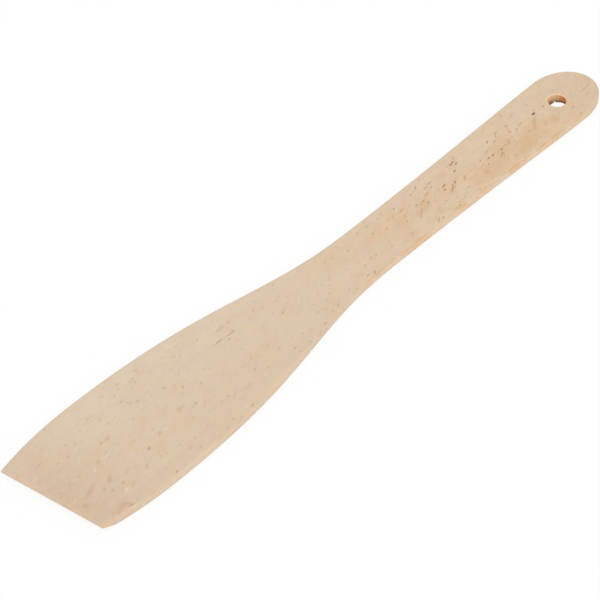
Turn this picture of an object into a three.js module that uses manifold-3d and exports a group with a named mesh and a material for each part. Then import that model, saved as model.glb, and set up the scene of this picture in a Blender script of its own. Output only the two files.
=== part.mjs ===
// Flat wooden spatula for turning and scraping food in a pan.
// It is one piece of beech: a thin board, sawn to a flared blade and a waisted handle,
// with rounded edges, a slanted front that is thinned from below, and a drilled hole to hang it by.
// Millimetres. The board lies flat on z = 0, the handle's end points to +X and the blade's front to -X.

import * as THREE from 'three';
import { mergeVertices, toCreasedNormals } from 'three/addons/utils/BufferGeometryUtils.js';
import Module from 'manifold-3d';

// The board
const overallLength = 300;
const boardThickness = 4;
const edgeRound = 1;

// The handle: its rounded end is half an ellipse, and it narrows to the neck
const handleEndLength = 17.5;
const handleEndWidth = 26.6;
const neckWidth = 23.2;
const neckFromHandleEnd = 133;

// The blade: it flares from the neck to its widest place and draws in again towards the front
const bladeWidth = 50.8;
const widestFromFront = 39;
const frontWidth = 42.4;

// How far each smooth curve runs on along the board's length before it turns
const handleEndEase = 25;
const neckEaseToHandle = 63;
const neckEaseToBlade = 45;
const flareEase = 68;
const drawInEase = 23.5;

// The front: sawn at a slight slant, and bevelled on the underside to a thin edge
const frontSlantDegrees = 4.9;
const frontEdgeThickness = 2.6;
const frontBevelRun = 5;

// The hanging hole, drilled a little off the centre line
const hangingHoleDiameter = 7.4;
const hangingHoleFromEnd = 20.5;
const hangingHoleOffCentre = -0.5;
const hangingHoleRimEase = 0.3;

// How far the cutting tools reach past the wood, and how finely curves are divided
const cutterClearance = 6;
const curveSteps = 14;
const edgeRoundSteps = 4;
const holeSides = 48;

// Beech, sanded and left bare
const beechColour = 0xdbc4a9;
const beechRoughness = 0.72;
const creaseAngle = THREE.MathUtils.degToRad(30);

const frontX = -overallLength / 2;
const handleEndX = overallLength / 2;

const wasm = await Module();
wasm.setup();

// One half of the outline, from the sawn stock in front of the blade to the tip of the handle.
function sideCurve() {
  const widestX = frontX + widestFromFront;
  const neckX = handleEndX - neckFromHandleEnd;
  const endX = handleEndX - handleEndLength;
  const frontCorner = new THREE.Vector2(frontX, frontWidth / 2);
  const drawInPoint = new THREE.Vector2(widestX - drawInEase, bladeWidth / 2);
  const forward = frontCorner.clone().sub(drawInPoint).normalize();
  const stockCorner = frontCorner.clone().addScaledVector(forward, cutterClearance);

  const side = new THREE.Path();
  side.moveTo(stockCorner.x, stockCorner.y);
  side.lineTo(frontCorner.x, frontCorner.y);
  side.quadraticCurveTo(drawInPoint.x, drawInPoint.y, widestX, bladeWidth / 2);
  side.bezierCurveTo(
    widestX + flareEase, bladeWidth / 2,
    neckX - neckEaseToBlade, neckWidth / 2,
    neckX, neckWidth / 2,
  );
  side.bezierCurveTo(
    neckX + neckEaseToHandle, neckWidth / 2,
    endX - handleEndEase, handleEndWidth / 2,
    endX, handleEndWidth / 2,
  );
  side.absellipse(endX, 0, handleEndLength, handleEndWidth / 2, Math.PI / 2, 0, true);
  return side;
}

// The whole outline: one side, and the same side mirrored about the board's centre line.
function boardOutline() {
  const farSide = sideCurve().getPoints(curveSteps);
  const nearSide = farSide.slice(0, -1).map((point) => new THREE.Vector2(point.x, -point.y));
  return new THREE.Shape([...nearSide, ...farSide.reverse()]);
}

// The board before its front is sawn off and its hole is drilled, with rounded edges all round.
function boardBlank() {
  const blank = new THREE.ExtrudeGeometry(boardOutline(), {
    depth: boardThickness - 2 * edgeRound,
    bevelEnabled: true,
    bevelThickness: edgeRound,
    bevelSize: edgeRound,
    bevelOffset: -edgeRound,
    bevelSegments: edgeRoundSteps,
  });
  return blank.translate(0, 0, edgeRound);
}

// What is sawn off in front of the blade, together with the wedge planed off below the front edge.
// The saw line turns about the blade's far corner, which keeps the overall length.
function frontCutter() {
  const bevelRise = boardThickness - frontEdgeThickness;
  const runPastBottom = frontBevelRun * cutterClearance / bevelRise;
  const profile = new THREE.Shape();
  profile.moveTo(0, boardThickness + cutterClearance);
  profile.lineTo(-2 * cutterClearance, boardThickness + cutterClearance);
  profile.lineTo(-2 * cutterClearance, -cutterClearance);
  profile.lineTo(frontBevelRun + runPastBottom, -cutterClearance);
  profile.lineTo(0, bevelRise);
  const reach = bladeWidth + 2 * cutterClearance;
  const cutter = new THREE.ExtrudeGeometry(profile, { depth: reach, bevelEnabled: false });
  return cutter
    .rotateX(Math.PI / 2)
    .translate(0, cutterClearance, 0)
    .rotateZ(THREE.MathUtils.degToRad(frontSlantDegrees))
    .translate(frontX, frontWidth / 2, 0);
}

// A drill with a short cone at both faces, which eases the hole's rims.
function holeCutter() {
  const radius = hangingHoleDiameter / 2;
  const coneRadius = radius + hangingHoleRimEase + cutterClearance;
  const profile = [
    new THREE.Vector2(0, -cutterClearance),
    new THREE.Vector2(coneRadius, -cutterClearance),
    new THREE.Vector2(radius, hangingHoleRimEase),
    new THREE.Vector2(radius, boardThickness - hangingHoleRimEase),
    new THREE.Vector2(coneRadius, boardThickness + cutterClearance),
    new THREE.Vector2(0, boardThickness + cutterClearance),
  ];
  return new THREE.LatheGeometry(profile, holeSides)
    .rotateX(Math.PI / 2)
    .translate(handleEndX - hangingHoleFromEnd, hangingHoleOffCentre, 0);
}

// A closed three.js geometry as a solid that can be cut.
function toSolid(geometry) {
  const bare = geometry.clone();
  bare.deleteAttribute('normal');
  bare.deleteAttribute('uv');
  const merged = mergeVertices(bare);
  const corners = merged.index.array;
  const kept = [];
  for (let i = 0; i < corners.length; i += 3) {
    const [a, b, c] = [corners[i], corners[i + 1], corners[i + 2]];
    if (a !== b && b !== c && c !== a) {
      kept.push(a, b, c);
    }
  }
  const vertProperties = merged.attributes.position.array;
  const triVerts = Uint32Array.from(kept);
  return new wasm.Manifold(new wasm.Mesh({ numProp: 3, vertProperties, triVerts }));
}

// A cut solid as a three.js geometry again, smooth along the curves and crisp along the saw cuts.
function toGeometry(solid) {
  const { vertProperties, triVerts } = solid.getMesh();
  const geometry = new THREE.BufferGeometry();
  geometry.setAttribute('position', new THREE.BufferAttribute(vertProperties, 3));
  geometry.setIndex(new THREE.BufferAttribute(triVerts, 1));
  return toCreasedNormals(geometry, creaseAngle);
}

function beech() {
  return new THREE.MeshStandardMaterial({
    name: 'beech',
    color: beechColour,
    roughness: beechRoughness,
    metalness: 0,
  });
}

function spatulaBody() {
  const solid = toSolid(boardBlank())
    .subtract(toSolid(frontCutter()))
    .subtract(toSolid(holeCutter()));
  const body = new THREE.Mesh(toGeometry(solid), beech());
  body.name = 'spatula_body';
  return body;
}

const spatula = new THREE.Group();
spatula.name = 'wooden_spatula';
spatula.add(spatulaBody());

export default spatula;
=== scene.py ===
# %% [markdown]
# A flat beech spatula, dressed for its photograph.
# The real spatula is one board of beech, 300 mm long and 4 mm thick. Its blade flares and ends in a
# slanted saw cut, its handle is waisted and rounded, and a hole is drilled near the end to hang it by. The
# CAD part already has these shapes. This lesson builds the same board again with what only the eye needs:
# open pores, ray flecks, stains, splits, and the colours of sanded beech. The first cell loads the CAD
# part. It is the fixed frame: everything below is in its metres and axes.

# %% Load the frame
import math
from functools import partial

import bmesh
import bpy
import numpy as np
from mathutils import Matrix, Vector


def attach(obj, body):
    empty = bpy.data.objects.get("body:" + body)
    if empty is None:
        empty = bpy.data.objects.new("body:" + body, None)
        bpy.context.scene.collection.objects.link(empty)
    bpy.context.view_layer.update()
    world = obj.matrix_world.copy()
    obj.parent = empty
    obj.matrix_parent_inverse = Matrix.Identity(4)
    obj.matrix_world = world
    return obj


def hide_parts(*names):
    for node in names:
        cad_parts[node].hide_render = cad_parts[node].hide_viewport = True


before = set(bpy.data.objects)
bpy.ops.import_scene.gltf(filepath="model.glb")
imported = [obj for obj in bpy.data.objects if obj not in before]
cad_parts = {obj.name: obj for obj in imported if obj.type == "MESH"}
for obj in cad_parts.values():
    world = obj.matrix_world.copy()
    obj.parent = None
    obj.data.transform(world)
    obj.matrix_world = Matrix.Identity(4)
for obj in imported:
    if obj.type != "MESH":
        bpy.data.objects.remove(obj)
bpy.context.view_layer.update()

MM = 0.001

# %% [markdown]
# The camera.
# The photograph looks down on the board from in front of its near edge, over a long lens, so that the far
# end looks hardly smaller than the near one. The camera could be placed by eye, but its angles and
# distance were fitted to the outline in the photograph. The matrix is built from them: its columns are the
# directions that are right, up and backwards for the camera.

# %% Camera
PHOTO_SIDE = 600
FOCAL_PIXELS = 3000
SENSOR_MM = 36
CAMERA_AZIMUTH = math.radians(-48.947)
CAMERA_ELEVATION = math.radians(43.063)
CAMERA_LEFT_MM, CAMERA_DOWN_MM, CAMERA_BACK_MM = 13.741, 7.721, 1090.538


def place_object(name, data):
    """An object with this data, in the scene and at the origin."""
    thing = bpy.data.objects.new(name, data)
    bpy.context.scene.collection.objects.link(thing)
    return thing


backwards = Vector((
    math.sin(CAMERA_AZIMUTH) * math.cos(CAMERA_ELEVATION),
    -math.cos(CAMERA_AZIMUTH) * math.cos(CAMERA_ELEVATION), math.sin(CAMERA_ELEVATION)))
rightwards = Vector((math.cos(CAMERA_AZIMUTH), math.sin(CAMERA_AZIMUTH), 0))
upwards = backwards.cross(rightwards)
camera_place = (backwards * CAMERA_BACK_MM - rightwards * CAMERA_LEFT_MM - upwards * CAMERA_DOWN_MM) * MM
camera_turn = Matrix((rightwards, upwards, backwards)).transposed().to_4x4()

lens = bpy.data.cameras.new("photo_camera")
lens.sensor_width = SENSOR_MM
lens.lens = SENSOR_MM * FOCAL_PIXELS / PHOTO_SIDE
camera = place_object("photo_camera", lens)
camera.matrix_world = Matrix.Translation(camera_place) @ camera_turn
bpy.context.scene.camera = camera
print("camera at", [round(v, 3) for v in camera_place], "m, lens", lens.lens, "mm")

# %% [markdown]
# From a pixel back to the board.
# The marks in the wood are placed where the photograph shows them. A pixel is a line of sight through the
# camera, and where that line meets the top face is the mark's place on the board, so it stays on the wood
# from whatever side it is seen.

# %% Where a pixel of the photograph lies on the top face
BOARD_THICKNESS = 4.0


def on_top_face(pixel):
    """The point on the board's top face, in metres, that shows at a pixel of the photograph."""
    sideways, upward = pixel[0] - PHOTO_SIDE / 2, PHOTO_SIDE / 2 - pixel[1]
    sight = rightwards * sideways + upwards * upward - backwards * FOCAL_PIXELS
    return camera_place + sight * ((BOARD_THICKNESS * MM - camera_place.z) / sight.z)


HOLE_AT = (556.7, 100.5)
print("the hole's middle is at", [round(v / MM, 1) for v in on_top_face(HOLE_AT)], "mm")

# %% [markdown]
# Colours and nodes.
# A colour that is read off a screen is an sRGB value, but Blender's sockets take linear light, so one
# function turns the one into the other. A second small function adds a node with its settings and links.
# Inputs are given by name, or as a list in the order in which the node shows them. A Map Range then reads:
# value, from min, from max, to min, to max. An input is a value, an output of an earlier node, or that
# node itself, which stands for its first output. Sockets that a setting has put out of use are skipped.

# %% Helpers for colours and nodes
SMOOTH = {"interpolation_type": "SMOOTHSTEP"}
COLOURS = {"data_type": "RGBA"}


def linear(colour):
    """The linear colour, with full alpha, of an sRGB hex value such as "d8c1a6"."""
    parts = [int(colour[i:i + 2], 16) / 255 for i in (0, 2, 4)]
    return [p / 12.92 if p <= 0.04045 else ((p + 0.055) / 1.055) ** 2.4 for p in parts] + [1.0]


def add_node(tree, kind, inputs=(), operation=None, **settings):
    """Adds a node to a tree, with its settings, values and links, and returns it."""
    node = tree.nodes.new(kind if "Node" in kind else "ShaderNode" + kind)
    if operation:
        node.operation = operation
    for name, value in settings.items():
        setattr(node, name, value)
    in_use = {socket.name: socket for socket in node.inputs if socket.enabled}
    in_order = [socket for socket in node.inputs if socket.enabled]
    for key, value in inputs.items() if isinstance(inputs, dict) else enumerate(inputs):
        socket = in_use[key] if key in in_use else in_order[key]
        if isinstance(value, bpy.types.Node):
            value = next(output for output in value.outputs if output.enabled)
        if isinstance(value, bpy.types.NodeSocket):
            tree.links.new(value, socket)
        else:
            socket.default_value = value
    return node


def empty_tree(owner):
    """Empties the node tree of a material or a world, and returns a function that adds nodes to it."""
    owner.use_nodes = True
    owner.node_tree.nodes.clear()
    return partial(add_node, owner.node_tree)


def per_mm(along, across, through):
    """The Mapping scale for a pattern whose cells measure this many millimetres."""
    return 1 / (along * MM), 1 / (across * MM), 1 / (through * MM)


def pattern(add, place, scale, detail):
    """Adds an uneven pattern whose cells have the size that a Mapping scale tells."""
    space = add("Mapping", {"Vector": place, "Scale": scale})
    return add("TexNoise", {"Vector": space, "Scale": 1.0, "Detail": detail})


print("beech in linear light:", [round(v, 3) for v in linear("dbc4a9")])

# %% [markdown]
# The colour of beech.
# The board was sawn with its face along the growth rings and then sanded, and it was never oiled. It is a
# pale, pinkish cream: the blade is palest on its far side and a little browner at the front, and the
# handle is warmer, most of all in a band along its middle. Over that lie warm clouds, a faint mottling,
# streaks and fibres along the grain, and thousands of tiny dashes where the rays come to the surface. A
# picture of wood would be quicker, but it would stretch over the edges. Here every pattern lies in Object
# coordinates, in real millimetres, and runs on over the arrises as in a real board. Opened and stained
# wood starts from the same colour, so the colour is a function of its own.

# %% The colour of the wood
BLADE_NEAR, BLADE_FAR, BLADE_FRONT = linear("d9c2a7"), linear("dcc8af"), linear("d2b99f")
HANDLE_BAND, HANDLE_SIDES, HANDLE_END = linear("dcc0a0"), linear("dcc4a8"), linear("d7bfa3")
WARM_CLOUD, DARK_FLECK, PALE_FLECK = linear("dab187"), linear("c4a788"), linear("e1ceb4")
FLECK_LEAN = 0.3
BAND_SLOPE, BAND_START = 0.1, 5.2 * MM
NOISE_MIDDLE = 0.5
UNCHANGED = (1, 1, 1)
ROW_BEND = (4 * MM, 4 * MM, 0)


def beech_colour(add, place):
    """Adds the colour of sanded beech to a tree, and returns what its materials need."""
    spot = add("SeparateXYZ", [place]).outputs
    on_handle = add("MapRange", [spot["X"], -45 * MM, 55 * MM], **SMOOTH)
    across_blade = add("MapRange", [spot["Y"], -22 * MM, 22 * MM])
    front_limit = add("MapRange", [across_blade, 0.45, 0.85, 0.9, 0.55])
    at_front = add("MapRange", [spot["X"], -150 * MM, -112 * MM, front_limit, 0], **SMOOTH)
    # The handle's warm band is about 12 mm wide. It starts on the far side of the neck and runs askew.
    along_band = add("Math", [spot["X"], BAND_SLOPE, spot["Y"]], "MULTIPLY_ADD")
    from_band = add("Math", [along_band, BAND_START], "SUBTRACT")
    off_band = add("Math", [from_band], "ABSOLUTE")
    across_handle = add("MapRange", [off_band, 1.5 * MM, 7 * MM], **SMOOTH)
    blade = add("Mix", [across_blade, BLADE_NEAR, BLADE_FAR], **COLOURS)
    whole_blade = add("Mix", [at_front, blade, BLADE_FRONT], **COLOURS)
    handle = add("Mix", [across_handle, HANDLE_BAND, HANDLE_SIDES], **COLOURS)
    ground = add("Mix", [on_handle, whole_blade, handle], **COLOURS)

    # Warm clouds, about 11 mm long: faint on the blade, plain on the handle but for its far side.
    clouds = pattern(add, place, per_mm(11, 6, 6), detail=2.0)
    handle_clouds = add("MapRange", [spot["Y"], 3 * MM, 9 * MM, 0.6, 0.2])
    cloud_limit = add("MapRange", [on_handle, 0.7, 1, 0.18, handle_clouds])
    warmth = add("MapRange", [clouds, 0.47, 0.7, 0, cloud_limit])
    clouded = add("Mix", [warmth, ground, WARM_CLOUD], **COLOURS)
    at_end = add("MapRange", [spot["X"], 116 * MM, 138 * MM, 0, 0.75], **SMOOTH)
    warm = add("Mix", [at_end, clouded, HANDLE_END], **COLOURS)

    # Mottling: patches about 6 mm long, each a little lighter, pinker or yellower than the next.
    patches = pattern(add, place, per_mm(6, 4, 4), detail=1.0)
    patch_depth = add("MapRange", [on_handle, 0.6, 1, 0.08, 0.12])
    patch_swing = add("VectorMath", [patches.outputs["Color"], (NOISE_MIDDLE,) * 3], "SUBTRACT")
    patch_tint = add("VectorMath", [patch_swing, patch_depth, UNCHANGED], "MULTIPLY_ADD")
    patched = add("VectorMath", [warm, patch_tint], "MULTIPLY")

    # Streaks 2.5 mm wide, and fibres. Real fibres are 0.02 mm wide, and are drawn 1.1 mm wide to show.
    streaks = pattern(add, place, per_mm(40, 2.5, 2.5), detail=3.0)
    streak_light = add("MapRange", [streaks, 0.25, 0.75, 0.978, 1.022])
    leaning = add("Mapping", {"Vector": place, "Rotation": (0, 0, -FLECK_LEAN)})
    fibres = pattern(add, leaning, per_mm(2.8, 1.1, 1.1), detail=2.0)
    fibre_swing = add("Math", [fibres, NOISE_MIDDLE], "SUBTRACT")
    fibre_depth = add("MapRange", [on_handle, 0, 1, 0.1, 0.13])
    grain_light = add("Math", [fibre_swing, fibre_depth, streak_light], "MULTIPLY_ADD")
    grained = add("VectorMath", [patched, grain_light], "MULTIPLY")

    # The finest ray flecks: soft spindles about 1.5 mm long that lean a little across the grain. The patches
    # bend their rows, and each cell's own numbers make its fleck strong or faint, dark or pale.
    bent = add("VectorMath", [patch_swing, ROW_BEND, leaning], "MULTIPLY_ADD")
    fleck_space = add("Mapping", {"Vector": bent, "Scale": per_mm(3.8, 1.9, 1.9)})
    cells = add("TexVoronoi", {"Vector": fleck_space, "Scale": 1.0}).outputs
    own = add("SeparateXYZ", [cells["Color"]]).outputs
    strength = add("MapRange", [own["Y"], 0, 1, 0.1, 0.95])
    fleck = add("MapRange", [cells["Distance"], 0.04, 0.3, strength, 0], **SMOOTH)
    darkness = add("MapRange", [own["X"], 0.25, 0.35])
    fleck_colour = add("Mix", [darkness, PALE_FLECK, DARK_FLECK], **COLOURS)
    colour = add("Mix", [fleck, grained, fleck_colour], **COLOURS)
    return {"colour": colour, "on_handle": on_handle, "at_end": at_end, "clouds": clouds, "fleck": fleck,
            "patch_swing": patch_swing, "streaks": streaks, "fibres": fibres, "height": spot["Z"]}


print("fine flecks lean by", round(math.degrees(FLECK_LEAN)), "degrees")

# %% [markdown]
# Sanded beech.
# This is the surface of the whole board: nearly matt, with the fibres a little proud of it. The side walls
# show the fibres' length. Their colour is lifted a little everywhere, as painted light, so they are paler on
# the blade, and on the handle they are warmer, with orange patches. The arrises between walls and faces are
# smoother where sanding and hands polished them, and on the near side a tone darker, where they are worn. On
# the far side their cool, greyish colour is a painted reflection of the sky. The direction in which a face
# looks tells all these apart, so no mask has to be painted.

# %% Material: sanded beech
WALL_PATCH, NEAR_ARRIS, FAR_ARRIS_PAINTED_SKY = linear("e0b68e"), linear("d2ae86"), linear("d2c8b5")
# Painted light on the walls: how much their colour is lifted, as if more light fell on them.
WALL_PAINTED_LIGHT = (0.02, 0.02, 0.05)
WALL_WARMTH = (0.15, -0.15, -0.55)
PALEST_SWING = -0.06
ARRIS_POLISH = 0.12
FIBRE_HEIGHT = 0.2 * MM
WOOD_IOR = 1.45
SANDED_RELIEF, OPENED_RELIEF, BORED_RELIEF = 0.12, 0.2, 0.4


def wood_material(name, finish):
    """A material of bare wood, from a finish that gives colour, roughness, relief and relief strength."""
    material = bpy.data.materials.new(name)
    add = empty_tree(material)
    colour, roughness, relief, strength = finish(add, add("TexCoord").outputs)
    bump = add("Bump", {"Height": relief, "Strength": strength, "Distance": FIBRE_HEIGHT})
    shader = add("BsdfPrincipled", {
        "Base Color": colour, "Roughness": roughness, "Normal": bump, "IOR": WOOD_IOR})
    add("OutputMaterial", [shader])
    print(name, "has", len(material.node_tree.nodes), "nodes")
    return material


def sanded_finish(add, place):
    """The finish of the faces, the walls and the arrises."""
    wood = beech_colour(add, place["Object"])
    facing = add("SeparateXYZ", [place["Normal"]]).outputs
    flatness = add("Math", [facing["Z"]], "ABSOLUTE")

    wall = add("MapRange", [flatness, 0.2, 0.9, 1, 0], **SMOOTH)
    # Painted light: every wall's colour is lifted a little.
    painted_wall_light = add("VectorMath", [wall, WALL_PAINTED_LIGHT, UNCHANGED], "MULTIPLY_ADD")
    # The saw went across the mottling there, so a wall shows it more plainly than a face: warm, then pale.
    swing = add("SeparateXYZ", [wood["patch_swing"]]).outputs["X"]
    warm_swing = add("Math", [swing, PALEST_SWING], "MAXIMUM")
    wall_swing = add("Math", [warm_swing, wall], "MULTIPLY")
    wall_mottle_and_painted_light = add("VectorMath", [wall_swing, WALL_WARMTH, painted_wall_light], "MULTIPLY_ADD")
    lit_wall = add("VectorMath", [wood["colour"], wall_mottle_and_painted_light], "MULTIPLY")
    on_grip = add("Math", [wood["on_handle"], wood["at_end"]], "SUBTRACT")
    patch_limit = add("Math", [wall, on_grip], "MULTIPLY")
    wall_patch = add("MapRange", [wood["clouds"], 0.5, 0.75, 0, patch_limit])
    walled = add("Mix", [wall_patch, lit_wall, WALL_PATCH], **COLOURS)

    off_wall = add("MapRange", [flatness, 0, 0.4], **SMOOTH)
    off_face = add("MapRange", [flatness, 0.85, 0.995, 1, 0], **SMOOTH)
    arris = add("Math", [off_wall, off_face], "MULTIPLY")
    arris_tone = add("MapRange", [on_grip, 0, 1, 0.36, 0.6])
    arris_patchiness = add("MapRange", [wood["clouds"], 0.35, 0.65, 0.1, 1.7])
    uneven_arris = add("Math", [arris, arris_patchiness], "MULTIPLY")
    arris_wear_and_sky_share = add("Math", [uneven_arris, arris_tone], "MULTIPLY")
    # On the far side the arris colour is cool and greyish: a painted reflection of the sky. On the near side
    # it is darker, where it is worn.
    far = add("MapRange", [facing["Y"], -0.2, 0.2])
    arris_wear_and_sky_colour = add("Mix", [far, NEAR_ARRIS, FAR_ARRIS_PAINTED_SKY], **COLOURS)
    colour = add("Mix", [arris_wear_and_sky_share, walled, arris_wear_and_sky_colour], **COLOURS)

    relief = add("Math", [wood["fibres"], wood["fleck"]], "SUBTRACT")
    gloss = add("MapRange", [wood["streaks"], 0.3, 0.7, 0.66, 0.8])
    polished = add("Math", [arris, -ARRIS_POLISH, gloss], "MULTIPLY_ADD")
    return colour, polished, relief, SANDED_RELIEF


beech = wood_material("sanded_beech", sanded_finish)

# %% [markdown]
# Opened and stained beech.
# Where a ray or a vessel was cut open, the wood shows a small brown hollow, and it holds dust. Where sap
# was left, the wood is softer and stained, and the sander took a hair more of it. Both are real hollows in
# this mesh, so their material can read how far a point lies below the face: at the rim it is sanded beech,
# and deeper it turns brown and then dark, painted shade for the depth of the hollow. That gives each mark
# a soft edge.

# %% Materials: opened beech, stained beech
DEEPEST = 0.8 * MM
BROWN_FROM, STAIN_FROM = 0.09 * MM, 0.06 * MM
# Browns by depth: the darkest steps are painted shade in the hollow.
BROWN_AND_SHADE_BY_DEPTH = ((0.0, "c9b093"), (0.14, "b89877"), (0.3, "9e7750"), (0.6, "7c5a36"), (1.0, "4d3820"))
BLADE_STAIN, HANDLE_STAIN = linear("cd9a78"), linear("d29e68")


def below_face(add, height):
    """Adds the distance of a point below the nearer face of the board."""
    middle = BOARD_THICKNESS * MM / 2
    from_middle = add("Math", [height, middle], "SUBTRACT")
    distance = add("Math", [from_middle], "ABSOLUTE")
    return add("Math", [middle, distance], "SUBTRACT")


def opened_finish(add, place):
    """The finish of pores, flecks and splits: full brown below the first tenth of a millimetre."""
    wood = beech_colour(add, place["Object"])
    depth = below_face(add, wood["height"])
    share = add("MapRange", [depth, 0, DEEPEST])
    # Painted shade: the deeper a point lies in a hollow, the darker its brown.
    browns_and_shade = add("ValToRGB", [share])
    steps = browns_and_shade.color_ramp.elements
    while len(steps) < len(BROWN_AND_SHADE_BY_DEPTH):
        steps.new(0.5)
    for step, (position, colour) in zip(steps, BROWN_AND_SHADE_BY_DEPTH):
        step.position = position
        step.color = linear(colour)
    opened = add("MapRange", [depth, 0, BROWN_FROM], **SMOOTH)
    colour = add("Mix", [opened, wood["colour"], browns_and_shade], **COLOURS)
    roughness = add("MapRange", [wood["fibres"], 0, 1, 0.75, 0.95])
    return colour, roughness, wood["fibres"], OPENED_RELIEF


def stained_finish(add, place):
    """The finish of stains: redder on the blade and more orange on the handle, uneven along the fibres."""
    wood = beech_colour(add, place["Object"])
    depth = below_face(add, wood["height"])
    uneven = add("MapRange", [wood["fibres"], 0.3, 0.7, 0.5, 1.1])
    soaked = add("MapRange", [depth, 0, STAIN_FROM, 0, 0.9], **SMOOTH)
    stain = add("Math", [soaked, uneven], "MULTIPLY")
    stain_colour = add("Mix", [wood["on_handle"], BLADE_STAIN, HANDLE_STAIN], **COLOURS)
    colour = add("Mix", [stain, wood["colour"], stain_colour], **COLOURS)
    roughness = add("MapRange", [wood["streaks"], 0, 1, 0.6, 0.85])
    return colour, roughness, wood["fibres"], SANDED_RELIEF


opened = wood_material("opened_beech", opened_finish)
stained = wood_material("stained_beech", stained_finish)

# %% [markdown]
# Bored beech.
# The drill left the wall of the hole torn. Where it cut across the fibres, which lie a little askew there,
# the end grain is orange-brown, and where it ran along them the wall is a pale tan. The wall grows dark
# towards the underside: that is painted shade, deep in the hole. The broken rim on top is pale again, sanded
# beech with a painted highlight where it faces up. The face's direction mixes the tan with the orange, and
# the height adds the painted shade, which reaches higher on the side that looks to the handle's end, away
# from the softbox.

# %% Material: bored beech
BORE_TAN, BORE_ORANGE = linear("e6be92"), linear("e09a60")
# The dark colour is painted shade deep in the hole. The rim's colour is pale sanded beech with a painted
# highlight.
BORE_PAINTED_SHADE, BORE_RIM_AND_HIGHLIGHT = linear("472f18"), linear("f0c9a6")
FIBRE_TURN = math.radians(-15)
FIBRES_AT_HOLE = (math.cos(FIBRE_TURN), math.sin(FIBRE_TURN), 0)
TORN_SHARE = 0.5
TORN_REACH = 2.6 * MM


def bored_finish(add, place):
    """The finish of the hole's wall and rims."""
    spot = add("SeparateXYZ", [place["Object"]]).outputs
    facing = add("SeparateXYZ", [place["Normal"]]).outputs
    # Torn fibres: 0.6 mm across, and drawn out along the drill's way.
    torn = pattern(add, place["Object"], per_mm(0.6, 0.6, 3), detail=3.0)
    cut_across = add("VectorMath", [place["Normal"], FIBRES_AT_HOLE], "DOT_PRODUCT")
    end_grain = add("Math", [cut_across, cut_across], "MULTIPLY")
    torn_grain = add("Math", [torn, TORN_SHARE, end_grain], "MULTIPLY_ADD")
    orange = add("MapRange", [torn_grain, 0.35, 1.25], **SMOOTH)
    sides = add("Mix", [orange, BORE_TAN, BORE_ORANGE], **COLOURS)
    # Painted shade: the wall's colour darkens towards the underside, and higher on the side that faces away
    # from the softbox.
    torn_height = add("Math", [torn, TORN_REACH, spot["Z"]], "MULTIPLY_ADD")
    away_from_softbox = add("MapRange", [facing["X"], -0.6, 0.5, 0, -0.9 * MM])
    shade_height = add("Math", [torn_height, away_from_softbox], "ADD")
    painted_hole_shade = add("MapRange", [shade_height, 1.3 * MM, 3.9 * MM, 0.86, 0], **SMOOTH)
    shaded_sides = add("Mix", [painted_hole_shade, sides, BORE_PAINTED_SHADE], **COLOURS)
    # The rim that faces up is sanded pale, with a painted highlight in its colour.
    on_rim = add("MapRange", [facing["Z"], 0.2, 0.8])
    colour = add("Mix", [on_rim, shaded_sides, BORE_RIM_AND_HIGHLIGHT], **COLOURS)
    roughness = add("MapRange", [torn, 0, 1, 0.7, 0.9])
    return colour, roughness, torn, BORED_RELIEF


bored = wood_material("bored_beech", bored_finish)

# %% [markdown]
# The outline.
# The board is sawn along drawn curves, the same on both sides: one draws the blade in towards its front, a
# long one runs from the widest place to the neck, another from the neck to the handle's end, and a quarter
# of an ellipse goes round the end. A curve object could hold them, but the loft below needs the direction
# at each point too, so the points come from de Casteljau's rule: it slides along the lines between the
# control points until one point is left.

# %% The outline of one side, in millimetres
FRONT_X, TIP_X = -150.0, 150.0
BLADE_HALF, FRONT_HALF, NECK_HALF, END_HALF = 25.4, 21.2, 11.6, 13.3
END_LENGTH = 17.5
WIDEST_X, NECK_X, END_X = FRONT_X + 39.0, TIP_X - 133.0, TIP_X - END_LENGTH
DRAW_IN_EASE, FLARE_EASE, NECK_EASE_BLADE, NECK_EASE_HANDLE, END_EASE = 23.5, 68.0, 45.0, 63.0, 25.0
CURVE_STEPS, END_STEPS = 400, 200


def curve_points(controls):
    """Points along the Bezier curve of these control points."""
    share = np.linspace(0, 1, CURVE_STEPS)[:, None]
    rows = [np.array(c, float) + 0 * share for c in controls]
    while len(rows) > 1:
        rows = [a + (b - a) * share for a, b in zip(rows, rows[1:])]
    return rows[0]


front_corner, widest = (FRONT_X, FRONT_HALF), (WIDEST_X, BLADE_HALF)
neck, end_start = (NECK_X, NECK_HALF), (END_X, END_HALF)
draw_in = curve_points([front_corner, (WIDEST_X - DRAW_IN_EASE, BLADE_HALF), widest])
flare = curve_points([
    widest, (WIDEST_X + FLARE_EASE, BLADE_HALF), (NECK_X - NECK_EASE_BLADE, NECK_HALF), neck])
grip = curve_points([
    neck, (NECK_X + NECK_EASE_HANDLE, NECK_HALF), (END_X - END_EASE, END_HALF), end_start])
turn = np.linspace(0, math.pi / 2, END_STEPS)
round_end = np.c_[END_X + END_LENGTH * np.sin(turn), END_HALF * np.cos(turn)]
far_side = np.vstack([draw_in, flare[1:], grip[1:], round_end[1:]])
near_side = far_side * (1, -1)
print("outline: length", np.ptp(far_side[:, 0]), "mm, blade", 2 * far_side[:, 1].max(), "mm wide")

# %% [markdown]
# The loft.
# The board could be an extruded outline with a Bevel modifier, but its arrises are rounded more on the
# handle, where the hand goes, and the front is sawn at a slant and planed thin from below. So it is
# lofted: at each station along its length a ring of points goes round its section, and quads join the
# rings. The first stations lie parallel to the saw cut, which keeps its edges straight, and the last one
# shrinks to a line at the tip, where the doubled points are merged.

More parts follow.
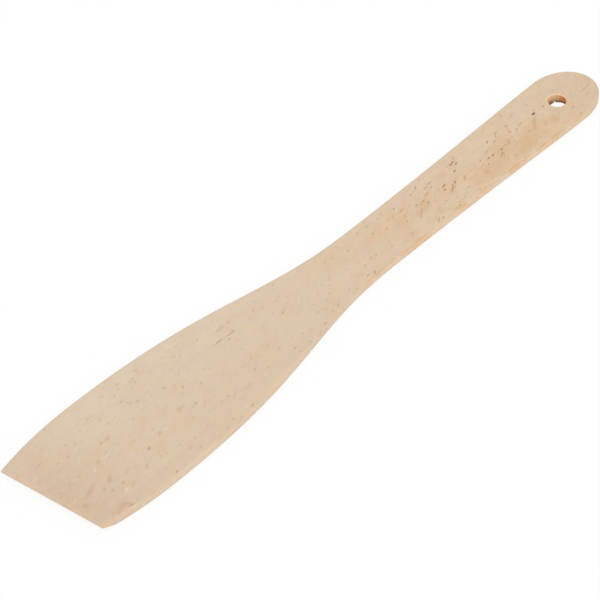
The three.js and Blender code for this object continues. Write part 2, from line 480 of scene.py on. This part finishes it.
# %% The stations of the loft
FRONT_SLANT = math.radians(4.9)
FRONT_THICKNESS = 2.6
FRONT_BEVEL_RUN = 5.0
FRONT_EASE = 0.1
CORNER_REACH, CORNER_RUN, CORNER_TOP, CORNER_SHARPENING = 1.3, 12.0, 3.6, 0.7
SAW_STATIONS = [0, 0.02, 0.05, 0.1, 0.12, 0.6, 1.4, 2.4, 3.4, 4.4, 5.0, 5.4, 6.5, 8, 10, 12]
LENGTH_STATIONS = 330


def from_saw(points):
    """How far points lie behind the saw cut, which starts at the tip of the far front corner."""
    along = (points[:, 0] - FRONT_X) * math.cos(FRONT_SLANT)
    return along - (FRONT_HALF + CORNER_REACH - points[:, 1]) * math.sin(FRONT_SLANT)


def at_stations(side):
    """A side's points and its outward directions at the stations, from the front to the tip."""
    run = np.r_[0, np.cumsum(np.hypot(*np.diff(side, axis=0).T))]
    behind = from_saw(side)
    # The first curve holds all the stations at the saw. Two points more let the last one be interpolated.
    first = np.searchsorted(behind[:CURVE_STEPS], SAW_STATIONS[-1]) + 2
    starts = np.interp(SAW_STATIONS, behind[:first], run[:first])
    stops = np.r_[starts, np.linspace(starts[-1], run[-1], LENGTH_STATIONS + 1)[1:]]
    heading = np.gradient(side, axis=0)
    outward = np.c_[heading[:, 1], -heading[:, 0]] * -np.sign(side[0, 1])
    points, ways = [
        np.stack([np.interp(stops, run, part) for part in rows.T], axis=1) for rows in (side, outward)]
    ways[-1] = (1, 0)
    return points, ways / np.hypot(*ways.T)[:, None]


far_points, far_out = at_stations(far_side)
near_points, near_out = at_stations(near_side)
behind_saw = from_saw((far_points + near_points) / 2)
print("stations:", len(far_points), "near front corner at", near_points[0].round(2), "mm")

# %% [markdown]
# The section.
# Each ring goes over the far arris, down the far wall, under the board, up the near wall and back over the
# top. The rounding of the arrises grows a little from the blade to the handle. At the far front corner the
# sander missed the lower edge, which stands out there as a sharp tip, so the lower rows of the far edge
# reach out along the saw cut.

# %% Rings of the loft, and the board's mesh
BLADE_ROUND, HANDLE_ROUND = 0.95, 1.1
ROUND_GROWS_FROM_X, ROUND_GROWS_TO_X = -60, 45
ROUND_STEPS, ACROSS_STEPS = 7, 26
MERGE_DISTANCE = 1e-7


def smooth_step(low, high, value):
    """A share that grows from 0 to 1 between two values, slowly at both ends."""
    share = np.clip((value - low) / (high - low), 0, 1)
    return share * share * (3 - 2 * share)


middle_x = (far_points[:, 0] + near_points[:, 0]) / 2
growth = smooth_step(ROUND_GROWS_FROM_X, ROUND_GROWS_TO_X, middle_x)
rounding = BLADE_ROUND + (HANDLE_ROUND - BLADE_ROUND) * growth
to_front = np.clip(FRONT_EASE - behind_saw, 0, None)
eased = FRONT_EASE - np.sqrt(np.clip(FRONT_EASE ** 2 - to_front ** 2, 0, None))
underside = (BOARD_THICKNESS - FRONT_THICKNESS) * np.clip(1 - behind_saw / FRONT_BEVEL_RUN, 0, 1)
top_z, low_z = BOARD_THICKNESS - eased, underside + eased

angles = np.linspace(0, math.pi / 2, ROUND_STEPS + 1)
insets = np.r_[1 - np.sin(angles), 1 - np.cos(angles)]
drops = 1 - np.cos(angles)
lifts = 1 - np.sin(angles)
saw_way = np.array((-math.sin(FRONT_SLANT), math.cos(FRONT_SLANT)))


def edge(points, outward, low_round, reach):
    """Rows of points down over one edge of the board, whose lower part stands out by a reach."""
    edge_z = np.vstack([top_z - rounding * drops[:, None], low_z + low_round * lifts[:, None]])
    radii = [rounding] * len(angles) + [low_round] * len(angles)
    lowness = np.clip((CORNER_TOP - edge_z) / (CORNER_TOP - BOARD_THICKNESS + FRONT_THICKNESS), 0, 1)
    rows = [points - outward * (radius * inset + eased)[:, None] + saw_way * (reach * low)[:, None]
            for radius, inset, low in zip(radii, insets, lowness)]
    return [np.c_[row, z] for row, z in zip(rows, edge_z)]


def across(start, stop):
    """Rows of points between two rows, without those two."""
    shares = np.linspace(0, 1, ACROSS_STEPS + 1)[1:-1]
    return [start + (stop - start) * share for share in shares]


def face_outwards(mesh, merge_distance=0):
    """Merges points that lie closer than a distance, and turns the faces of a mesh outwards."""
    work = bmesh.new()
    work.from_mesh(mesh)
    if merge_distance:
        bmesh.ops.remove_doubles(work, verts=work.verts, dist=merge_distance)
    bmesh.ops.recalc_face_normals(work, faces=work.faces)
    work.to_mesh(mesh)
    work.free()


def new_piece(name, points, edges=(), faces=(), material=None):
    """A piece in the scene with a mesh of these points, edges and faces."""
    mesh = bpy.data.meshes.new(name)
    mesh.from_pydata(points, edges, faces)
    if material:
        mesh.materials.append(material)
    return place_object(name, mesh)


def lofted(name, rings, material, caps):
    """A closed piece: rings of points in millimetres, joined by quads, with caps at the rings named."""
    count, around = rings.shape[:2]
    index = np.arange(count * around).reshape(count, around)
    after = np.roll(index, -1, 1)
    quads = np.stack([index[:-1], after[:-1], after[1:], index[1:]], -1).reshape(-1, 4)
    points = (rings.reshape(-1, 3) * MM).tolist()
    piece = new_piece(name, points, faces=quads.tolist() + index[caps].tolist(), material=material)
    face_outwards(piece.data, MERGE_DISTANCE)
    return piece


at_corner = 1 - smooth_step(0, CORNER_RUN, behind_saw)
sharpened = rounding * (1 - CORNER_SHARPENING * at_corner)
far_edge = edge(far_points, far_out, sharpened, CORNER_REACH * at_corner)
near_edge = edge(near_points, near_out, rounding, 0 * at_corner)
bottom, top = across(far_edge[-1], near_edge[-1]), across(near_edge[0], far_edge[0])
rings = np.stack(far_edge + bottom + near_edge[::-1] + top, axis=1)
board = lofted("board_blank", rings, beech, caps=[0])
print("board blank:", len(board.data.polygons), "faces")

# %% [markdown]
# Marks in the grain.
# A ray or a vessel that was cut open shows as a short spindle. There are hundreds of them, so a Geometry
# Nodes tree makes them: it sets a spindle on each point of a mesh, and scatters more over the underside,
# which the photograph doesn't show, with a fixed seed. Only the lowest part of a spindle dips into the
# wood and cuts a shallow dish. Painted marks would be quicker, but flat paint has no shadow in it when the
# light comes from the side.

# %% A Geometry Nodes tree that sets spindles on a surface
# A ball's lowest part, cut halfway between its middle and its lowest point, is this share of its width.
CAP_WIDTH = math.sqrt(3) / 2
# The ball is 4 high: its middle is 1 above the face, and its lowest point is 1 below it.
BALL_SHAPE = (4, 1 / CAP_WIDTH, 1 / CAP_WIDTH)
# By how much of themselves a mark's length, width and depth vary.
LEAST_CHANGE, MOST_CHANGE = (-0.45, -0.3, -0.5), (0.45, 0.3, 0.4)
# A face of the underside looks down at least this far.
DOWNWARD = -0.99


def new_tree(name, **inputs):
    """A Geometry Nodes tree whose inputs are given as default numbers or as kinds of socket.

    It comes with the function that adds nodes to it and with what its inputs give."""
    tree = bpy.data.node_groups.new(name, "GeometryNodeTree")
    for label, value in inputs.items():
        kind = {float: "Float", int: "Int"}.get(type(value), value)
        socket = tree.interface.new_socket(label, in_out="INPUT", socket_type="NodeSocket" + kind)
        if kind != value:
            socket.default_value = value
    tree.interface.new_socket("Geometry", in_out="OUTPUT", socket_type="NodeSocketGeometry")
    add = partial(add_node, tree)
    return tree, add, add("NodeGroupInput").outputs


def end_tree(add, geometry, material):
    """Ends a tree in real geometry of one material."""
    real = add("GeometryNodeRealizeInstances", [geometry])
    dressed = add("GeometryNodeSetMaterial", {"Geometry": real, "Material": material})
    add("NodeGroupOutput", [dressed])


def spindle_tree():
    """The tree that sets spindles."""
    tree, add, given = new_tree(
        "wood_spindles", Geometry="Geometry", Board="Object", Material="Material", Spacing=6 * MM,
        Scatter=0.0, Length=1.8 * MM, Width=0.5 * MM, Depth=0.1 * MM, Least=0.1 * MM, Count=1,
        Lean=FLECK_LEAN, Turn=0.2, Vary=1.0, Facets=7, Seed=1)
    seen = add("GeometryNodeMeshToPoints", [given["Geometry"]])
    surface = add("GeometryNodeObjectInfo", [given["Board"]])
    normal = add("GeometryNodeInputNormal")
    facing = add("SeparateXYZ", [normal]).outputs
    below = add("FunctionNodeCompare", {"A": facing["Z"], "B": DOWNWARD}, "LESS_THAN")
    scattered = add("GeometryNodeDistributePointsOnFaces", {
        "Mesh": surface.outputs["Geometry"], "Selection": below, "Distance Min": given["Spacing"],
        "Density Max": given["Scatter"], "Seed": given["Seed"]}, distribute_method="POISSON")
    points = add("GeometryNodeJoinGeometry", [seen])
    tree.links.new(scattered.outputs["Points"], points.inputs[0])

    # A spindle: a ball whose poles lie along the grain, raised so that a dish of size 1 is below the face.
    ball = add("GeometryNodeMeshUVSphere", {
        "Segments": given["Facets"], "Rings": given["Facets"], "Radius": 0.5})
    spindle = add("GeometryNodeTransform", {
        "Geometry": ball, "Translation": (0, 0, 1), "Rotation": (0, math.pi / 2, 0), "Scale": BALL_SHAPE})
    # The lists run from the darkest mark to the faintest, so the depth falls with a point's number.
    number = add("GeometryNodeInputIndex")
    depth = add("MapRange", [number, 0, given["Count"], given["Depth"], given["Least"]])
    size = add("CombineXYZ", [given["Length"], given["Width"], depth])
    # Each point draws by its number: scattered points bring ids along, and seen points would all get id 0.
    varied = add("FunctionNodeRandomValue", {
        "Min": LEAST_CHANGE, "Max": MOST_CHANGE, "ID": number, "Seed": given["Seed"]},
        data_type="FLOAT_VECTOR")
    factor = add("VectorMath", [varied, given["Vary"], UNCHANGED], "MULTIPLY_ADD")
    scale = add("VectorMath", [size, factor], "MULTIPLY")

    # On the underside a spindle is turned over, so that its dish goes up into the wood.
    position = add("GeometryNodeInputPosition")
    height = add("SeparateXYZ", [position]).outputs["Z"]
    under = add("Math", [height, BOARD_THICKNESS * MM / 2], "LESS_THAN")
    over_turn = add("Math", [under, math.pi], "MULTIPLY")
    least = add("Math", [given["Lean"], given["Turn"]], "SUBTRACT")
    most = add("Math", [given["Lean"], given["Turn"]], "ADD")
    turned = add("FunctionNodeRandomValue", {
        "Min": least, "Max": most, "ID": number, "Seed": given["Seed"]}, data_type="FLOAT")
    spin = add("CombineXYZ", [over_turn, 0, turned])
    rotation = add("FunctionNodeEulerToRotation", [spin])
    spindles = add("GeometryNodeInstanceOnPoints", {
        "Points": points, "Instance": spindle, "Rotation": rotation, "Scale": scale})
    # Spindles that touch are joined, because a cutter that overlaps itself would leave faces inside out.
    joined = add("GeometryNodeMeshBoolean", [spindles], "UNION", solver="MANIFOLD")
    end_tree(add, joined, given["Material"])
    return tree


spindles = spindle_tree()
print("spindle tree:", len(spindles.nodes), "nodes")

# %% [markdown]
# From marks to cutters.
# A cutter starts as points or a line at the places of the marks. A Nodes modifier turns them into shapes
# with one of the trees, and a plain mesh is taken from the result, so that nothing is left to evaluate
# later.

# %% Helpers that turn pixels into cutters
IN_MM = ("length", "width", "depth", "least", "spacing")


def made_real(piece):
    """Turns what the modifiers make into a plain mesh and takes the modifiers away."""
    graph = bpy.context.evaluated_depsgraph_get()
    mesh = bpy.data.meshes.new_from_object(piece.evaluated_get(graph))
    piece.modifiers.clear()
    piece.data = mesh


def cutter(name, tree, points, edges=(), **inputs):
    """What a tree makes of points and edges, as a plain mesh that is closed and faces outwards."""
    piece = new_piece(name, points, edges)
    modifier = piece.modifiers.new(name, "NODES")
    modifier.node_group = tree
    sockets = {item.name: item.identifier for item in tree.interface.items_tree if item.in_out == "INPUT"}
    for label, value in inputs.items():
        modifier[sockets[label.capitalize()]] = value * MM if label in IN_MM else value
    made_real(piece)
    face_outwards(piece.data)
    print(name, "has", len(piece.data.polygons), "faces")
    return piece


def marks(name, pixels, material, depth, least=None, **inputs):
    """Spindles at pixels of the photograph, whose depth falls from the first to the last."""
    places = [on_top_face(pixel) for pixel in pixels]
    inputs |= {"depth": depth, "least": least or depth, "count": len(places), "material": material}
    return cutter(name, spindles, places, board=board, **inputs)


print("in millimetres:", IN_MM)

# %% [markdown]
# Where the marks are.
# The flecks, pores and stains of this board were read off the photograph one by one, so each list below
# holds the pixels of one kind of mark. The lists of flecks and pores run from the darkest to the faintest,
# and their depth falls in that order from depth to least. Sizes are in millimetres, angles in radians, and
# the scatter is in marks per square metre of the underside.

# %% The pixels at which the photograph shows the marks
BLADE_FLECKS_AT = [
    (179, 375), (329, 278), (197, 340), (181, 394), (163, 449), (157, 392), (166, 424), (159, 433),
    (157, 406), (133, 419), (221.5, 401.5), (180, 445), (75, 444), (235, 394), (205, 402), (99.5, 447.5),
    (250, 384), (204, 369), (150, 373), (179.5, 355.5), (164.5, 411.5), (250, 318), (278, 297),
    (106, 452), (68, 457), (104.5, 483.5), (66, 445), (208.5, 421.5), (81, 441), (204.5, 396.5),
    (183.5, 405.5), (133, 442), (101, 396), (92.5, 415.5), (166, 407), (197, 353), (258, 355),
    (243, 366), (41, 450), (165, 387), (247.5, 387.5), (284, 309), (136, 402), (166, 468), (210, 369),
    (144, 402), (124, 461), (15, 459), (130, 382), (113, 491), (151, 396), (222, 375), (207, 425),
    (275, 301), (70, 484), (70, 488), (118, 389), (193, 418)]
HANDLE_FLECKS_AT = [
    (453, 158), (415.5, 187), (452, 191), (525, 157), (375, 272), (443, 187), (487, 172), (349, 301),
    (416.5, 205), (489, 164), (407, 221), (421.5, 204), (495, 134), (368, 275), (421, 216), (431, 187),
    (509, 142), (411, 194), (460, 205), (439, 220), (394, 209), (381, 214), (371, 258), (443, 218),
    (457, 208), (573, 107), (521, 123), (532.5, 120.5), (431, 182), (445, 203), (541, 137), (468.5, 187),
    (465, 177), (426, 188), (546, 124), (536, 135), (508, 159), (471, 171), (504, 158), (485, 174),
    (529, 131), (508, 129), (546, 137), (465, 180), (405, 217), (402, 210), (427, 207), (515, 145),
    (505, 141), (458, 197), (417.5, 214), (417.5, 208)]
FINE_FLECKS_AT = [
    (449, 164.5), (419, 179.5), (519.5, 163), (452.5, 190.5), (581, 114), (489, 171.5), (503.5, 146),
    (507.5, 144.5), (514, 165.5), (499.5, 115), (454.8, 186.5), (488.5, 164), (496, 132.3), (415.5, 189),
    (495.7, 136.5), (508.5, 139.8), (510.5, 168.5), (425.5, 196), (439.5, 218), (393.5, 208.5),
    (480.5, 160.5), (443.5, 217), (480, 189), (519.5, 125), (410, 195.5), (445, 200.5), (424.5, 189.5),
    (447.5, 200.5), (471, 197), (456, 178), (485.5, 152.5), (487.5, 151.5), (512, 136.5), (464.5, 176),
    (413.5, 191), (427, 187), (387, 229), (483.5, 164.5), (507.5, 157.5), (472.5, 152), (489.5, 167),
    (376, 255), (541.3, 101.3), (510, 143.5), (504.5, 156), (467, 174), (530.5, 131), (447, 167.3),
    (330, 285), (519, 141), (404.5, 215), (511, 115.5), (392, 246), (333, 258), (400.5, 211.5),
    (401, 210), (403, 208.5), (423, 212), (349, 290), (418, 192.5), (515.5, 142), (298, 313),
    (407, 212.5), (424.5, 207.5), (513.5, 140), (317, 292), (370, 243), (506, 139), (326, 309),
    (322, 285), (435, 197), (363, 223), (457, 196), (481.5, 167), (403.5, 199.5), (509, 155),
    (491.5, 167), (346, 259), (392.5, 216.5), (486.5, 166), (476.5, 175), (358, 277), (521.5, 132),
    (521.5, 127.5), (395.5, 219.5), (354.5, 258.5), (387.5, 220.5), (348, 269), (444.5, 195.5),
    (513, 156.5), (412, 219), (535, 142.5), (517, 131.5), (436.5, 216.5), (326, 262), (529.5, 128.5),
    (572, 100), (550.7, 110), (516, 149.5), (449.5, 199), (334, 305), (426.5, 210.5), (413, 216),
    (475, 149), (437.5, 213), (482.5, 158.5), (387, 217), (484, 180), (440.5, 213.5), (513, 148),
    (517.5, 122.5), (449, 203), (463.5, 172.5), (466, 189.5), (303, 300), (479, 169.5), (517.5, 156.5)]
DARK_FLECKS_AT = [
    (325.5, 323.3), (283, 377), (132, 505), (177, 472), (149, 448), (253, 405), (373, 233.5), (101, 443),
    (357, 289), (333, 311), (228, 396), (310, 329), (294.5, 348), (120, 513), (310, 342), (190, 448),
    (109.5, 478.5), (123, 482.5), (85, 505), (135, 370), (255, 369), (196, 403), (147, 467), (201, 383),
    (127, 472), (253, 310), (134, 483), (183, 387), (98, 462), (178.5, 409), (229, 339), (108, 423),
    (108, 438)]
PORES_AT = [
    (454.5, 171), (444.3, 185.2), (501.7, 149), (452.3, 162.3), (450.7, 164.6), (493, 155), (455.3, 182),
    (452.8, 188.2), (456, 163.3), (445.2, 189.6), (488.7, 158), (452.8, 185), (502.6, 152.8),
    (428.4, 202.4), (487, 141.8), (428.5, 183.6), (494.5, 141.3), (501.3, 155.6), (423.5, 200.6),
    (543, 106.3), (427, 193.9), (421.6, 209.9), (516.7, 128.7), (505.5, 144.8), (421.2, 213),
    (530, 149.8), (460.4, 201.8), (475, 167)]
PIT_AT = [(533.5, 113.5)]
BROAD_STAINS_AT = [
    (453, 164), (455, 176), (454.5, 185), (445, 189), (424, 203), (427, 205), (421, 211), (486, 170),
    (508, 143), (501, 152), (551, 91), (555, 119), (566, 124), (545, 123), (539, 126), (453, 190),
    (131, 505.5), (122, 506), (119.5, 514)]
HANDLE_STAINS_AT = [(516, 150), (504, 157), (527, 142), (494, 161), (535, 131), (499, 166)]
BLADE_STREAK_AT = [(90.5, 490.5)]
PIT_STREAK_AT = [(534.6, 123.3)]
BLADE_STAINS_AT = [
    (107.5, 438), (179.5, 409), (98, 462), (109.5, 478.5), (133, 484), (124.5, 504.5), (128.5, 503.5),
    (132.5, 505.5), (120, 513), (41.5, 481)]

ALONE = {"turn": 0.0, "vary": 0.0}
mark_tools = [
    marks("handle_stains", HANDLE_STAINS_AT, stained, length=18, width=9, depth=0.021,
          turn=0.2, facets=16, seed=4),
    marks("broad_stains", BROAD_STAINS_AT, stained, length=7, width=4, depth=0.027,
          turn=0.3, facets=12, seed=6),
    marks("blade_streak", BLADE_STREAK_AT, stained, length=9.5, width=2.8, depth=0.036,
          lean=0.4, facets=12, **ALONE),
    marks("pit_streak", PIT_STREAK_AT, stained, length=12.5, width=2.4, depth=0.052,
          lean=0.66, facets=12, **ALONE),
    marks("blade_stains", BLADE_STAINS_AT, stained, length=4.2, width=2.2, depth=0.04,
          turn=0.3, facets=12, seed=11),
    marks("blade_flecks", BLADE_FLECKS_AT, opened, length=2.5, width=1.2, depth=0.074, least=0.046,
          turn=0.45, vary=0.4, seed=3, scatter=30000.0, spacing=7),
    marks("handle_flecks", HANDLE_FLECKS_AT, opened, length=1.9, width=0.6, depth=0.17, least=0.06,
          lean=0.4, turn=0.3, vary=0.4, seed=7),
    marks("fine_flecks", FINE_FLECKS_AT, opened, length=1.6, width=0.6, depth=0.13, least=0.04,
          lean=0.4, turn=0.35, vary=0.4, seed=10),
    marks("dark_flecks", DARK_FLECKS_AT, opened, length=2.8, width=1.2, depth=0.135, least=0.064,
          turn=0.4, vary=0.3, seed=5, scatter=8000.0, spacing=14),
    marks("pores", PORES_AT, opened, length=2.2, width=0.7, depth=0.29, least=0.07,
          turn=0.25, vary=0.15, seed=8),
    marks("pit", PIT_AT, opened, length=2.5, width=1, depth=0.6, lean=0.12, **ALONE)]

# %% [markdown]
# Splits.
# Hairline splits follow the grain. One is on the blade and swells twice, so it is made in two parts. One
# runs in from the handle's end, with a darker dash in it. A faint line and two dashes on the blade are
# made in the same way: a second tree sweeps a narrow diamond, thin at both ends, along a line with Curve
# to Mesh. The swept shape is cut out of the board like the spindles.

# %% A Geometry Nodes tree that sweeps a split along a line
THINNEST_SHARE = 0.15


def split_tree():
    """The tree that sweeps splits."""
    tree, add, given = new_tree(
        "wood_split", Geometry="Geometry", Material="Material", Width=0.3 * MM, Depth=0.4 * MM)
    line = add("GeometryNodeMeshToCurve", [given["Geometry"]])
    share = add("GeometryNodeSplineParameter").outputs["Factor"]
    # Thin at both ends: the thickness follows half a wave, and never quite reaches nothing.
    half_wave = add("Math", [share, math.pi], "MULTIPLY")
    swell = add("Math", [half_wave], "SINE")
    thickness = add("Math", [swell, THINNEST_SHARE], "MAXIMUM")
    # Half of the diamond is above the face, so it is twice as high as the split is deep.
    diamond = add("GeometryNodeCurvePrimitiveCircle", {"Resolution": 4, "Radius": 0.5}, mode="RADIUS")
    twice = add("Math", [given["Depth"], 2.0], "MULTIPLY")
    size = add("CombineXYZ", [given["Width"], twice, 1])
    profile = add("GeometryNodeTransform", {"Geometry": diamond, "Scale": size})
    upright = add("GeometryNodeSetCurveNormal", [line], mode="Z_UP")
    swept = add("GeometryNodeCurveToMesh", {
        "Curve": upright, "Profile Curve": profile, "Scale": thickness, "Fill Caps": True})
    end_tree(add, swept, given["Material"])
    return tree


splits = split_tree()
print("split tree:", len(splits.nodes), "nodes")


def split(name, pixels, width, depth):
    """A split along pixels of the photograph, with its width and depth in millimetres."""
    places = [on_top_face(pixel) for pixel in pixels]
    links = [(i, i + 1) for i in range(len(places) - 1)]
    return cutter(name, splits, places, links, width=width, depth=depth, material=opened)


BLADE_SPLIT_AT = [
    (211.5, 347.2), (215, 344.6), (218.5, 341.7), (221.5, 339.7), (224, 337.6), (226, 336.3)]
SPLIT_END_AT = [
    (222.5, 338.8), (226.5, 336.1), (229, 334.6), (231.5, 332.8), (234, 331.1), (237.5, 328.9)]
BLADE_LINE_AT = [(212, 337), (216, 332.5), (219.5, 329.3), (222, 326.5), (225.5, 322)]
BLADE_DASH_AT = [(117, 404.5), (121, 402), (125, 398.5)]
FRONT_DASH_AT = [(34, 470), (37, 467.3), (39.5, 465), (42, 461.5), (43.5, 459)]
END_SPLIT_AT = [
    (573.5, 93.4), (577, 92.8), (580, 92), (582.3, 90.6), (583.7, 88.7), (585.2, 87.3), (586.8, 85.7),
    (588.3, 84.2), (589.3, 82.5), (589.5, 80.5), (590, 78), (590.8, 75), (591, 73)]
END_DASH_AT = [(579.5, 92.2), (581.5, 91.4), (583, 90), (583.8, 88.7), (584.6, 87.8), (586, 86.5)]

split_tools = [
    split("blade_split", BLADE_SPLIT_AT, width=0.85, depth=0.11),
    split("split_end", SPLIT_END_AT, width=0.85, depth=0.1),
    split("blade_line", BLADE_LINE_AT, width=1.2, depth=0.06),
    split("blade_dash", BLADE_DASH_AT, width=0.8, depth=0.1),
    split("front_dash", FRONT_DASH_AT, width=1.2, depth=0.07),
    split("end_split", END_SPLIT_AT, width=0.6, depth=0.08),
    split("end_dash", END_DASH_AT, width=0.6, depth=0.12)]

# %% [markdown]
# The hanging hole.
# A drill of about 7 mm went through the handle, and its rims were broken with sandpaper. The drill is a
# turned shape: a profile of radii and heights, spun round the hole's axis. Its radius wavers by hundredths
# of a millimetre, because the fibres tore, and it leans a little, because it was held by hand. Where it
# came out, it tore a chip off the lower rim, and the white floor shows through the notch. One more
# spindle, set on the underside, makes the chip.

# %% The drill and the chip
HOLE_X, HOLE_Y, HOLE_RADIUS, HOLE_RIM, HOLE_TAPER = 129.5, -0.5, 3.6, 0.5, 0.2
HOLE_LEAN = Vector((0.16, -0.18))
HOLE_SIDES, RIM_STEPS = 96, 5
WALL_HEIGHTS = (3.0, 2.0, 1.0)
DRILL_REACH = 1.0
TEAR = 0.05
TEAR_WAVES = ((5, 0), (9, 1), (14, 4))
CHIP_ANGLE = math.radians(62)

round_turn = np.linspace(0, 2 * math.pi, HOLE_SIDES, endpoint=False)
waver = TEAR * sum(np.sin(waves * round_turn + shift) for waves, shift in TEAR_WAVES) / len(TEAR_WAVES)
rim_turns = np.linspace(0, math.pi / 2, RIM_STEPS)
upper = [(HOLE_RADIUS + HOLE_RIM * (1 - math.sin(a)), BOARD_THICKNESS - HOLE_RIM * (1 - math.cos(a)))
         for a in rim_turns]
wall = [(HOLE_RADIUS - HOLE_TAPER * (1 - z / BOARD_THICKNESS), z) for z in WALL_HEIGHTS]
lower = [(radius - HOLE_TAPER, BOARD_THICKNESS - z) for radius, z in upper[::-1]]
wide = HOLE_RADIUS + HOLE_RIM
profile = [(wide, BOARD_THICKNESS + DRILL_REACH), *upper, *wall, *lower, (wide, -DRILL_REACH)]
drill_rings = []
for radius, z in profile:
    sunk = BOARD_THICKNESS - z
    drill_rings.append(np.c_[
        HOLE_X + HOLE_LEAN.x * sunk + (radius + waver) * np.cos(round_turn),
        HOLE_Y + HOLE_LEAN.y * sunk + (radius + waver) * np.sin(round_turn), np.full(HOLE_SIDES, z)])
drill = lofted("drill", np.array(drill_rings), bored, caps=[0, -1])
print("drill:", len(drill.data.polygons), "faces")

chip_centre = Vector((HOLE_X, HOLE_Y)) + HOLE_LEAN * BOARD_THICKNESS
chip_reach = Vector((math.cos(CHIP_ANGLE), math.sin(CHIP_ANGLE))) * (HOLE_RADIUS - HOLE_TAPER)
chip_place = ((chip_centre + chip_reach) * MM).to_3d()
chip = cutter("chip", spindles, [chip_place], board=board, material=opened, length=3, width=1.4, depth=1,
              lean=CHIP_ANGLE, facets=12, **ALONE)

# %% [markdown]
# Cutting.
# One Boolean modifier for each cutter takes it out of the board. The manifold solver keeps the mesh closed
# even where marks overlap, and the cutter's material stays on the faces that it leaves. The result becomes
# a plain mesh. It is shaded smooth, but an edge stays sharp round each mark and where two faces meet at
# more than 40 degrees, and the saw cut stays flat.

# %% Cut the board
SHARP_ANGLE = math.radians(40)
SAW_FACING = Vector((-math.cos(FRONT_SLANT), -math.sin(FRONT_SLANT), 0))
SAWN_FLAT = 0.999

cutters = [*mark_tools, *split_tools, drill, chip]
for tool in cutters:
    cut = board.modifiers.new(tool.name, "BOOLEAN")
    cut.operation = "DIFFERENCE"
    cut.solver = "MANIFOLD"
    cut.material_mode = "TRANSFER"
    cut.object = tool
made_real(board)
board.name = board.data.name = "beech_spatula"
for tool in cutters:
    bpy.data.objects.remove(tool)

board.data.shade_smooth()
board.data.set_sharp_from_angle(angle=SHARP_ANGLE)
work = bmesh.new()
work.from_mesh(board.data)
for line in work.edges:
    line.smooth = line.smooth and len({face.material_index for face in line.link_faces}) == 1
for face in work.faces:
    face.smooth = face.normal.dot(SAW_FACING) < SAWN_FLAT
work.to_mesh(board.data)
work.free()
print("spatula:", len(board.data.polygons), "faces,", [m.name for m in board.data.materials])

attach(board, "root")
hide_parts("spatula_body")

# %% [markdown]
# Floor and light.
# The photograph was taken on white, under light so soft that hardly a shadow is left. The floor is white
# and takes a soft shadow, and where the camera sees it, most of its white is its own, so that the shadow
# stays faint. The world is a white dome, and one broad sun stands for the softbox over the camera.

# %% Floor, world and softbox
WHITE = linear("ffffff")
FLOOR_HALF = 4.0
FLOOR_GAP = 0.0001
FLOOR_GLOW = 0.85
DOME_LIGHT = 0.75
SOFTBOX_LIGHT = 1.03
SOFTBOX_ANGLE = math.radians(60)
SOFTBOX_FROM = Vector((-0.42, -0.50, 0.76))


def seen_directly(add):
    """A node that gives 1 where the camera, a gloss or a glass looks, and 0 for the light itself."""
    ray = add("LightPath").outputs
    seen = add("Math", [ray["Is Camera Ray"], ray["Is Glossy Ray"]], "MAXIMUM")
    return add("Math", [seen, ray["Is Transmission Ray"]], "MAXIMUM")


white_floor = bpy.data.materials.new("white_floor")
add = empty_tree(white_floor)
glow_share = add("Math", [seen_directly(add), FLOOR_GLOW], "MULTIPLY")
paper = add("BsdfDiffuse", {"Color": WHITE})
glow = add("Emission", {"Color": WHITE, "Strength": 1.0})
both = add("MixShader", [glow_share, paper, glow])
add("OutputMaterial", [both])

corners = [(x * FLOOR_HALF, y * FLOOR_HALF, -FLOOR_GAP) for x, y in ((-1, -1), (1, -1), (1, 1), (-1, 1))]
floor = new_piece("floor", corners, faces=[(0, 1, 2, 3)], material=white_floor)

dome = bpy.data.worlds.new("white_dome")
add = empty_tree(dome)
dome_strength = add("MapRange", [seen_directly(add), 0, 1, DOME_LIGHT, 1])
sky = add("Background", {"Color": WHITE, "Strength": dome_strength})
add("OutputWorld", [sky])
bpy.context.scene.world = dome

softbox_light = bpy.data.lights.new("softbox", "SUN")
softbox_light.energy = SOFTBOX_LIGHT
softbox_light.angle = SOFTBOX_ANGLE
softbox = place_object("softbox", softbox_light)
softbox.rotation_euler = SOFTBOX_FROM.to_track_quat("Z", "Y").to_euler()
bpy.context.scene.view_settings.view_transform = "Standard"
print("light from the dome", DOME_LIGHT, "and the softbox", SOFTBOX_LIGHT)
